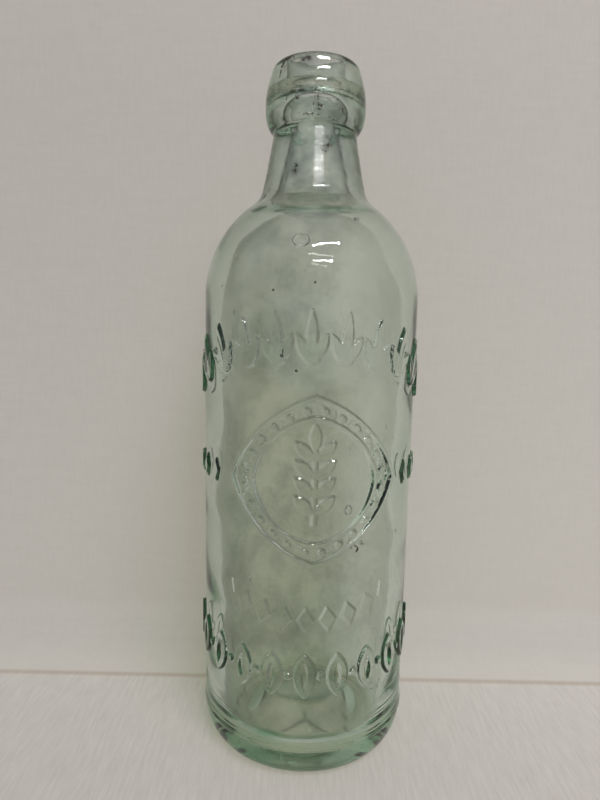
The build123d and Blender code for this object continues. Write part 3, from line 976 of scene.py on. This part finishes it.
def aged_and_shaded_finish(tree, film, rough, height, place):
    """Colour, roughness and height of the bottle's glass with its dirt, scuffs, rims and green base, and
    painted shade on its rims, brinks, marks' edges and heel.
    """
    stain, dirt, scuff, deep_and_shade = (node(tree, "Attribute", attribute_name=label).outputs["Fac"]
                                for label in ("stain", "film", "scuff", "deep_and_shade"))
    feed(tree, film.inputs["Extra"], stain)
    feed(tree, film.inputs["Cover"], dirt)
    rough = between(tree, scuff, rough, 0.5, "FLOAT")
    flat = node(tree, "Mapping", Vector=place, Scale=(1.0, 1.0, 9.0)).outputs[0]
    tooled = node(tree, "TexNoise", Vector=flat, Scale=150.0, Detail=3.0).outputs["Fac"]
    handled = maths(tree, "MULTIPLY_ADD", scuff, 8.0, dirt)
    height = maths(tree, "MULTIPLY_ADD", tooled, handled, height)
    # Darker where the glass is seen at a slant: partly the film's slanting path, and painted shade on the
    # rims also where there is no film.
    rim = ranged(tree, node(tree, "LayerWeight", Blend=0.5).outputs["Facing"], 0.12, 0.75)
    slanted_film_and_shade = maths(tree, "MULTIPLY", rim, maths(tree, "ADD", dirt, 0.20, clamped=True))
    colour = between(tree, slanted_film_and_shade, film.outputs["Color"], rgba(SLANTED_FILM_AND_SHADE))
    # Painted shade: a dark line where the inside is seen near the brink of total reflection, laid where the
    # film is heavy.
    brink = ranged(tree, node(tree, "Fresnel", IOR=1.5).outputs[0], 0.08, 0.2)
    lined = maths(tree, "MULTIPLY", brink, node(tree, "NewGeometry").outputs["Backfacing"])
    brink_dirt_and_shade = maths(tree, "MULTIPLY", lined, ranged(tree, dirt, 0.56, 0.76, "LINEAR"))
    colour = between(tree, brink_dirt_and_shade, colour, rgba(BRINK_DIRT_AND_SHADE))
    return between(tree, deep_and_shade, colour, rgba(DEEP_GLASS_AND_SHADE)), rough, height


def glass_material(name, tint, depth_tint, density, aged):
    """Thick pale glass: refraction, absorption with depth, worn skin, and lamps let through softly."""
    material, tree, output = new_material(name)
    worn = node(tree, "Group", node_tree=worn_surface_group(), Clear_Roughness=0.0, Dull_Roughness=0.09,
                Dull_Cover=0.55, Patch_Scale=55.0, Pit_Scale=700.0, Pit_Depth=0.25).outputs
    place = node(tree, "TexCoord").outputs["Object"]
    drift = node(tree, "TexNoise", Vector=place, Scale=26.0, Detail=2.0).outputs["Fac"]
    dust = between(tree, ranged(tree, drift, 0.4, 0.6), *(rgba(colour) for colour in DUST))
    # On the bottle the aged finish feeds dirt and painted shade into this film's cover and extra film.
    film = node(tree, "Group", node_tree=film_group(), Clean=rgba(tint), Film=dust, Cover=0.1, Scale=90.0,
                Extra_Film=rgba(RESIDUE_AND_EDGE_SHADE))
    colour, rough, height = film.outputs["Color"], worn["Roughness"], worn["Height"]
    if aged:
        colour, rough, height = aged_and_shaded_finish(tree, film, rough, height, place)
    bump = node(tree, "Bump", Strength=0.035, Distance=0.0004, Height=height).outputs["Normal"]
    glass = node(tree, "BsdfPrincipled", Base_Color=colour, Roughness=rough, IOR=1.5,
                 Transmission_Weight=1.0, Normal=bump).outputs[0]
    rays = node(tree, "LightPath").outputs
    thinned = maths(tree, "MAXIMUM", rays["Is Shadow Ray"], rays["Is Diffuse Ray"])
    slant = node(tree, "LayerWeight", Blend=0.35).outputs["Facing"]
    through = between(tree, slant, *(rgba(colour) for colour in SHADOW_TINTS))
    clear = node(tree, "BsdfTransparent", Color=through).outputs[0]
    feed(tree, output["Surface"], blended(tree, thinned, glass, clear))
    depth = node(tree, "VolumeAbsorption", Color=rgba(depth_tint), Density=density)
    feed(tree, output["Volume"], depth.outputs[0])
    return material


def studio_material(name, wall_colour, table_colour):
    """Brushed paint on the wall and table, which changes at a faint dark line, with painted light and shade
    along it and from side to side, clear from behind.
    """
    material, tree, output = new_material(name)
    place = node(tree, "TexCoord").outputs["Object"]
    split = node(tree, "SeparateXYZ", Vector=place).outputs
    on_wall = ranged(tree, split["Y"], BACKDROP_LINE - LINE_EDGE, BACKDROP_LINE + LINE_EDGE)
    paint = between(tree, on_wall, rgba(table_colour), rgba(wall_colour))
    distance = maths(tree, "ABSOLUTE", maths(tree, "SUBTRACT", split["Y"], BACKDROP_LINE))
    line = ranged(tree, distance, LINE_EDGE, LINE_FADE, To_Min=0.42, To_Max=0.0)
    ruled = between(tree, line, paint, rgba(LINE_COLOUR))
    # Painted light and shade along the backdrop and from side to side.
    first, last = BACKDROP_PAINTED_LIGHT[0][0], BACKDROP_PAINTED_LIGHT[-1][0]
    way = ranged(tree, maths(tree, "ADD", split["Y"], split["Z"]), first, last, "LINEAR")
    stops = [((at - first) / (last - first), (tone * TONE_SHARE,) * 3) for at, tone in BACKDROP_PAINTED_LIGHT]
    left, right = (side / TONE_SHARE for side in SIDEWAYS_PAINTED_LIGHT)
    level = ranged(tree, split["X"], -0.1, 0.1, "LINEAR", To_Min=left, To_Max=right)
    level = maths(tree, "MULTIPLY", level, ramp(tree, way, stops))
    for stretch, scale, table_depth, wall_depth in BRUSH_STROKES:
        stretched = node(tree, "Mapping", Vector=place, Scale=stretch).outputs[0]
        brush = node(tree, "TexNoise", Vector=stretched, Scale=scale, Detail=4.0, Roughness=0.65)
        depth = ranged(tree, on_wall, 0.0, 1.0, "LINEAR", To_Min=table_depth, To_Max=wall_depth)
        middle = maths(tree, "SUBTRACT", brush.outputs["Fac"], 0.5)
        level = maths(tree, "MULTIPLY", level, maths(tree, "MULTIPLY_ADD", middle, depth, 1.0))
    colour = node(tree, "VectorMath", operation="SCALE", Scale=level)
    feed(tree, colour.inputs[0], ruled)
    coat = node(tree, "BsdfDiffuse", Color=colour.outputs[0]).outputs[0]
    clear = node(tree, "BsdfTransparent").outputs[0]
    behind = node(tree, "NewGeometry").outputs["Backfacing"]
    feed(tree, output["Surface"], blended(tree, behind, coat, clear))
    return material


def studio_world(strength):
    """Even fill light, the room's tones in what glass mirrors, and a plain pale ground behind."""
    world = bpy.data.worlds.new("Studio Fill")
    world.use_nodes = True
    tree = world.node_tree
    tree.nodes.clear()
    split = node(tree, "SeparateXYZ", Vector=node(tree, "TexCoord").outputs["Generated"]).outputs
    room = ramp(tree, ranged(tree, split["Y"], -1.0, 1.0, "LINEAR"), ROOM_TONES)
    room = between(tree, ranged(tree, split["Z"], 0.12, 0.5), room, rgba(CEILING_TONE))
    window = ramp(tree, split["X"], [(share, (level,) * 3) for share, level in WINDOW_TONES])
    room = between(tree, ranged(tree, split["X"], 0.2, 0.6, To_Max=0.75), room, window)
    fill = node(tree, "Background", Color=rgba(WHITE), Strength=strength).outputs[0]
    seen = node(tree, "Background", Color=room).outputs[0]
    pale = node(tree, "Background", Color=rgba(ROOM_TONES[-1][1])).outputs[0]
    rays = node(tree, "LightPath").outputs
    mirrored = maths(tree, "MAXIMUM", rays["Is Glossy Ray"], rays["Is Transmission Ray"])
    light = blended(tree, rays["Is Camera Ray"], blended(tree, mirrored, fill, seen), pale)
    feed(tree, node(tree, "OutputWorld").inputs["Surface"], light)
    return world


# What lies on each point of the glass

def stain_field(vertices):
    """How much old residue lies on each point of the glass, from 0 to 1."""
    ring_height, ring_radius, section = ring_values()
    x, y, z = (vertices / MM).T
    radius = np.hypot(x, y)
    angle = np.degrees(np.arctan2(x, -y))
    near_ring = (np.abs(z - ring_height) < 3.2) & (radius > MOUTH_RADIUS - 0.4)
    inside = near_ring & (radius < ring_radius + section + 0.2)
    low_edge = np.exp(-(((z - ring_height + section * 1.25) / 0.55) ** 2))
    left = np.where((angle > -52) & (angle < -3), 1.0, 0.3)
    patchy = np.clip(0.75 + 0.35 * waves(angle, z, 6, 17, 40.0, 5), 0, 1)
    residue = np.where(inside, low_edge * left * patchy, 0.0)
    bore = radius < np.interp(z, (LIP_FOOT - 3, NECK_FOOT - 4), (THROAT_RADIUS + 2.6, BORE_FOOT_RADIUS + 1.8))
    basin_edge = np.interp(z, (0, 20), (HEEL_RADIUS - 4.4, HEEL_RADIUS - 3.4))
    basin = (z < 34) & (z > 7) & (radius > 17) & (radius < basin_edge)
    for foot, top, width, strength in STREAKS:
        sway = 0.0 if foot[1] > 100 else 1.6
        at = np.interp(z, (foot[1], top[1]), (foot[0], top[0])) + sway * waves(0 * z, z, 5, 2, 12.0, 93)
        ends = np.clip((z - foot[1]) / 3.0, 0, 1) * np.clip((top[1] - z) / 3.0, 0, 1)
        across = np.radians(wrapped(angle - at)) * radius
        broken = np.clip(0.7 + 0.4 * waves(angle, z, 9, 30, 9.0, 89), 0, 1)
        streak = strength * np.exp(-((across / width) ** 2)) * ends * broken
        residue = np.maximum(residue, np.where(basin if foot[1] < 100 else bore, streak, 0.0))
    kick = np.interp(radius, (0, KICK_RADIUS), (KICK_HEIGHT, 0))
    floor = (z > kick + 2.5) & (z < FLOOR_TOP + 0.5) & (radius < 19)
    for first, last in FLOOR_FOLDS:
        ends = [np.array((r * sin(radians(a)), -r * cos(radians(a)))) for a, r in (first, last)]
        way = ends[1] - ends[0]
        share = np.clip(((x - ends[0][0]) * way[0] + (y - ends[0][1]) * way[1]) / (way @ way), 0, 1)
        away = np.hypot(x - ends[0][0] - share * way[0], y - ends[0][1] - share * way[1])
        residue = np.maximum(residue, np.where(floor, 0.8 * np.exp(-((away / 0.7) ** 2)), 0.0))
    skin = radius > np.interp(z, *by_height(outer_line(1.0))) - 0.6
    cloud = np.clip(0.75 + 0.35 * waves(angle, z, 14, 40, 7.0, 81), 0.3, 1)
    for (at, height), across, tall, strength in SMUDGES:
        away = (np.radians(wrapped(angle - at)) * radius / across) ** 2 + ((z - height) / tall) ** 2
        residue = np.maximum(residue, np.where(skin, strength * cloud * np.exp(-away), 0.0))
    return residue


def film_and_shade_field(vertices):
    """How thick the film is on each point of the glass, from 0 to 1: dirt, heavy inside neck and lip, and
    painted shade on the left, the lower left and down the middle.
    """
    x, y, z = (vertices / MM).T
    radius = np.hypot(x, y)
    outside = radius > np.interp(z, *by_height(inner_line())) + 1.2
    height = np.clip((z - 158.0) / 20.0, 0, 1)
    angle = np.degrees(np.arctan2(x, -y))
    # Painted shade: left, low and front thicken the film where the wall's shadow is seen through the glass.
    left = np.clip((17.0 - x) / 22.0, 0, 1) * np.clip((29.0 + x) / 6.0, 0.3, 1)
    clouds = 0.55 * (0.15 + left) * (1 - height) * np.clip(0.3 + waves(angle, z, 14, 5, 45.0, 95), 0, 1)
    above_floor = np.clip((z - 14.0) / 3.0, 0, 1)
    low = np.clip((78.0 - z) / 44.0, 0, 1) * np.clip((27.0 - x) / 14.0, 0, 1) * above_floor
    mouth = 1 - 0.45 * np.clip((z - 199.0) / 4.0, 0, 1)
    middle = np.clip((100.0 - z) / 25.0, 0, 1) * np.clip((z - 16.0) / 4.0, 0, 1)
    front = 0.28 * np.exp(-((x / 18.0) ** 2)) * middle
    inside = np.minimum(0.07 + 0.30 * left + clouds + 0.34 * low + front, 0.55) + 0.62 * height * mouth
    outer = 0.10 + 0.20 * left * (1 - height) + front + 0.6 * height * mouth
    return np.clip(np.where(outside, outer, inside), 0, 1)


def deep_and_shade_field(vertices):
    """How far each point of the glass takes the thick base's green, from 0 to 1: the heel's underside, partly
    its own green and partly painted shade, and the base's middle a little.
    """
    x, y, z = (vertices / MM).T
    radius = np.hypot(x, y)
    angle = np.degrees(np.arctan2(x, -y))
    uneven = np.clip(0.8 + 0.25 * waves(angle, z, 9, 7, 30.0, 87), 0, 1)
    # Painted shade: the heel takes the green most at the front left, less at the front right and least
    # behind.
    arc = 0.85 * np.exp(-(((angle + 27) / 17) ** 2)) + 0.45 * np.exp(-(((angle - 24) / 22) ** 2)) + 0.15
    under = np.clip((10.3 - z) / 1.2, 0, 1) * np.clip(0.45 + z / 8.0, 0, 1) * arc * (radius > KICK_RADIUS - 2)
    kick = 0.2 * (radius <= KICK_RADIUS - 2) * (z < FLOOR_TOP + 1)
    return np.maximum(under, kick) * uneven


def scuff_field(vertices):
    """How scuffed each point of the glass is, from 0 to 1: only the outside of the neck is."""
    x, y, z = (vertices / MM).T
    angle = np.degrees(np.arctan2(x, -y))
    neck = np.clip((z - NECK_FOOT) / 4.0, 0, 1) * np.clip((LIP_FOOT - z) / 2.0, 0, 1)
    rubbed = np.clip(0.7 + 0.5 * waves(angle, z, 12, 24, 6.0, 97), 0.15, 1)
    return 0.5 * neck * rubbed * (np.hypot(x, y) > THROAT_RADIUS + 5.0)


# Operators

class BOTTLE_OT_glass(bpy.types.Operator):
    """Build the moulded glass bottle with its embossing and bubbles"""

    bl_idname = "marble_bottle.glass"
    bl_label = "Glass"

    def execute(self, context):
        settings = context.scene.bottle_glass
        vertices, faces, edges = glass_skin(settings)
        chance = np.random.default_rng(7)
        bubbles = list(LARGE_BUBBLES)
        for _ in range(settings.seed_count):
            size = chance.uniform(0.12, 0.42)
            spot = (chance.uniform(-180, 180), chance.uniform(22, 138))
            bubbles.append((spot, (size, size * 0.7, size * chance.uniform(0.9, 2.2))))
        parts, shapes, count = [vertices], [faces], len(vertices)
        outline = by_height(outer_line(1.0))
        for (at, height), radii in bubbles:
            turn = radians(at)
            skin, skin_faces = seed_skin(radii)
            across, rise = skin[:, 0], skin[:, 2]
            out = np.interp(height, *outline) - WALL / 2 + skin[:, 1]
            parts.append(np.stack([across * cos(turn) + out * sin(turn),
                                   across * sin(turn) - out * cos(turn), height + rise], 1) * MM)
            shapes.append([tuple(i + count for i in face) for face in skin_faces])
            count += len(skin)
        vertices = np.concatenate(parts)
        faces = [face for shape in shapes for face in shape]
        worn, painted_edge_shade = np.pad(edges, ((0, 0), (0, count - edges.shape[1])))
        material = glass_material("Aqua Bottle Glass", settings.tint, settings.depth_tint,
                                  settings.depth_density, True)
        made = make_object("bottle_glass", vertices, faces, material)
        # The stain holds the old residue and 0.6 of the painted shade on the marks' upper and right slopes.
        fields = {"stain": np.maximum(stain_field(vertices), 0.6 * painted_edge_shade), "deep_and_shade": deep_and_shade_field(vertices),
                  # The film holds the dirt film and the painted shade of the wall's shadow seen through the
                  # glass.
                  "film": film_and_shade_field(vertices) * (1 - 0.95 * worn), "scuff": scuff_field(vertices)}
        for label, field in fields.items():
            layer = made.data.attributes.new(label, "FLOAT", "POINT")
            layer.data.foreach_set("value", field.astype(np.float32))
        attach(made, "bottle")
        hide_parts("bottle")
        return {"FINISHED"}


class BOTTLE_OT_marble(bpy.types.Operator):
    """Build the worn glass marble in the lip's pocket"""

    bl_idname = "marble_bottle.marble"
    bl_label = "Marble"

    def execute(self, context):
        settings = context.scene.bottle_marble
        low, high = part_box("marble")
        centre = (low + high) / 2
        radius = (high.z - low.z) / 2
        rows, columns = 96, 144
        polar = np.linspace(0, pi, rows + 2)[1:-1][:, None]
        turn = np.linspace(0, 2 * pi, columns, endpoint=False)[None, :]
        knocks = np.clip(waves(np.degrees(turn), np.degrees(polar), 16, 9, 120.0, 31), -1, 1)
        reach = radius - settings.pit_depth * (0.5 + 0.5 * knocks) * np.sin(polar)
        points = np.stack([reach * np.sin(polar) * np.cos(turn), reach * np.sin(polar) * np.sin(turn),
                           reach * np.cos(polar) + 0 * turn], -1)
        poles = np.array([[0, 0, radius], [0, 0, -radius]])
        vertices, faces = grid_mesh(points, poles)
        glass = context.scene.bottle_glass
        material = glass_material("Marble Glass", settings.tint, glass.depth_tint,
                                  settings.depth_density, False)
        outwards = [face[::-1] for face in faces]
        made = make_object("marble_glass", vertices + np.array(centre), outwards, material)
        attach(made, "marble")
        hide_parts("marble")
        return {"FINISHED"}


class BOTTLE_OT_ring(bpy.types.Operator):
    """Build the rubber ring in its groove"""

    bl_idname = "marble_bottle.ring"
    bl_label = "Rubber Ring"

    def execute(self, context):
        height, centre, section = ring_values()
        columns, sides = 200, 28
        turn = np.linspace(0, 2 * pi, columns, endpoint=False)[:, None]
        side = np.linspace(0, 2 * pi, sides, endpoint=False)[None, :]
        perished = 0.5 + 0.5 * np.clip(waves(np.degrees(turn), np.degrees(side), 12, 23, 200.0, 41), -1, 1)
        reach = section * (1 - 0.05 * perished)
        radius = centre + reach * np.cos(side)
        points = np.stack([radius * np.cos(turn), radius * np.sin(turn), height + reach * np.sin(side)], -1)
        vertices = points.reshape(-1, 3) * MM
        faces = []
        for column in range(columns):
            after = (column + 1) % columns
            for edge in range(sides):
                nxt = (edge + 1) % sides
                faces.append((column * sides + edge, after * sides + edge, after * sides + nxt,
                              column * sides + nxt))
        made = make_object("rubber_ring", vertices, faces, rubber_material(context.scene.bottle_ring))
        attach(made, "bottle")
        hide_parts("seal_ring")
        return {"FINISHED"}


class BOTTLE_OT_grime(bpy.types.Operator):
    """Build the flakes of dry dirt that cling to the glass"""

    bl_idname = "marble_bottle.grime"
    bl_label = "Grime"

    def execute(self, context):
        chance = np.random.default_rng(91)
        outline = by_height(outer_line(0.5))
        vertices = []
        faces = []
        for (angle_a, height_a), (angle_b, height_b), spread_out, count, small, large in FLAKE_RUNS:
            for _ in range(count):
                share = float(np.clip(chance.normal(chance.choice((0.15, 0.4, 0.85)), 0.16), 0, 1))
                angle = angle_a + (angle_b - angle_a) * share
                height = height_a + (height_b - height_a) * share + chance.normal(0, spread_out)
                height = float(np.clip(height, HEEL_HEIGHT, TOP - 1.6))
                radius = float(np.interp(height, *outline))
                angle += degrees(chance.normal(0, spread_out) / radius)
                size = (small + (large - small) * chance.uniform(0, 1) ** 2.2) * FLAKE_SPREAD
                lean = chance.uniform(0, pi)
                stretch = chance.uniform(0.5, 1.0)
                corners = int(chance.integers(7, 12))
                first = len(vertices)
                spots = [(0.0, 0.0, FLAKE_RISE), (0.0, 0.0, -FLAKE_RISE)]
                for corner in range(corners):
                    turn = 2 * pi * corner / corners
                    reach = size * chance.uniform(0.55, 1.0)
                    along = reach * cos(turn)
                    aside = reach * stretch * sin(turn)
                    spots.append((along * cos(lean) - aside * sin(lean),
                                  along * sin(lean) + aside * cos(lean), 0.0))
                for across, up, rise in spots:
                    level = height + up
                    out = float(np.interp(level, *outline)) + rise
                    turn = radians(angle) + across / radius
                    vertices.append((out * sin(turn) * MM, -out * cos(turn) * MM, level * MM))
                for corner in range(corners):
                    here = first + 2 + corner
                    after = first + 2 + (corner + 1) % corners
                    faces += [(first, here, after), (first + 1, after, here)]
        made = make_object("dirt_flakes", vertices, faces, grime_material())
        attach(made, "bottle")
        return {"FINISHED"}


def add_lamp(name, place, size_x, size_y, power, colour):
    """A rectangular lamp that faces the bottle's shoulder."""
    light = bpy.data.lights.new(name, "AREA")
    light.shape = "RECTANGLE"
    light.size = size_x
    light.size_y = size_y
    light.energy = power
    light.color = colour
    lamp = bpy.data.objects.new(name, light)
    lamp.location = place
    aim = Vector((0, 0, 0.12)) - Vector(place)
    lamp.rotation_euler = aim.to_track_quat("-Z", "Y").to_euler()
    bpy.context.scene.collection.objects.link(lamp)
    return lamp


class BOTTLE_OT_studio(bpy.types.Operator):
    """Build the backdrop, the lamps, the fill light and the camera"""

    bl_idname = "marble_bottle.studio"
    bl_label = "Studio"

    def execute(self, context):
        settings = context.scene.bottle_studio
        scene = context.scene
        wall = settings.wall_distance
        cove = wall - 0.028
        section = [(-0.9, 0.0), (-0.1, 0.0)]
        for step in range(13):
            turn = radians(90.0 * step / 12)
            section.append((wall - cove + cove * sin(turn), cove - cove * cos(turn)))
        section.append((wall, 1.2))
        half = 1.1
        vertices = [(x, y, z) for y, z in section for x in (-half, half)]
        faces = [(2 * i, 2 * i + 1, 2 * i + 3, 2 * i + 2) for i in range(len(section) - 1)]
        paint = studio_material("Brushed Paint", settings.wall_colour, settings.table_colour)
        backdrop = make_object("backdrop", vertices, faces, paint)

        ceiling = 1.6
        first, last = -0.03 * ceiling, 0.53 * ceiling
        length = last - first
        for name, elevation, power in (("near_tube", 55.0, 1.0), ("far_tube", 37.8, 0.65)):
            back = ceiling / tan(radians(elevation))
            place = ((first + last) / 2, -back, ceiling + 0.15)
            add_lamp(name, place, length, 0.055, settings.lamp_power * power, (1.0, 1.0, 1.0))
        side = Vector((0.62, -1.10, 1.72))
        broad = add_lamp("side_window", side, 0.9, 0.9, settings.side_power, (1.0, 1.0, 1.0))
        broad.visible_glossy = False
        broad.visible_transmission = False

        scene.world = studio_world(settings.fill_strength)

        lens = bpy.data.cameras.new("camera")
        lens.lens = FOCAL_LENGTH
        lens.sensor_width = SENSOR
        lens.sensor_fit = "AUTO"
        lens.clip_start = 0.01
        lens.clip_end = 20.0
        camera = bpy.data.objects.new("camera", lens)
        camera.location = CAMERA_PLACE
        turned = Euler((radians(90.0 - CAMERA_PITCH), 0, 0)).to_matrix()
        rolled = Euler((0, 0, radians(CAMERA_ROLL))).to_matrix()
        camera.rotation_euler = (turned @ rolled).to_euler()
        scene.collection.objects.link(camera)
        scene.camera = camera
        scene.view_settings.view_transform = "Standard"
        scene.cycles.max_bounces = 24
        scene.cycles.transmission_bounces = 24
        scene.cycles.glossy_bounces = 12
        scene.cycles.transparent_max_bounces = 24
        return {"FINISHED"}


class BOTTLE_PT_panel(bpy.types.Panel):
    """Lists the pieces of the bottle and its studio"""

    bl_idname = "BOTTLE_PT_panel"
    bl_label = "Marble Bottle"
    bl_space_type = "VIEW_3D"
    bl_region_type = "UI"
    bl_category = "Marble Bottle"

    def draw(self, context):
        scene = context.scene
        for operator, settings in (
            (BOTTLE_OT_glass, scene.bottle_glass),
            (BOTTLE_OT_marble, scene.bottle_marble),
            (BOTTLE_OT_ring, scene.bottle_ring),
            (BOTTLE_OT_grime, None),
            (BOTTLE_OT_studio, scene.bottle_studio),
        ):
            box = self.layout.box()
            box.operator(operator.bl_idname)
            for name in settings.__annotations__ if settings else ():
                box.prop(settings, name)


SETTINGS = {
    "bottle_glass": GlassSettings,
    "bottle_marble": MarbleSettings,
    "bottle_ring": RingSettings,
    "bottle_studio": StudioSettings,
}
CLASSES = (
    *SETTINGS.values(), BOTTLE_OT_glass, BOTTLE_OT_marble, BOTTLE_OT_ring, BOTTLE_OT_grime,
    BOTTLE_OT_studio, BOTTLE_PT_panel)


def register():
    """Registers the classes and hangs the settings on the scene."""
    for kind in CLASSES:
        bpy.utils.register_class(kind)
    for name, kind in SETTINGS.items():
        setattr(bpy.types.Scene, name, PointerProperty(type=kind))


def unregister():
    """Takes the settings and classes away again."""
    for name in SETTINGS:
        delattr(bpy.types.Scene, name)
    for kind in reversed(CLASSES):
        bpy.utils.unregister_class(kind)


def main():
    """Builds everything in order."""
    register()
    bpy.ops.marble_bottle.studio()
    bpy.ops.marble_bottle.glass()
    bpy.ops.marble_bottle.marble()
    bpy.ops.marble_bottle.ring()
    bpy.ops.marble_bottle.grime()


if __name__ == "__main__":
    main()
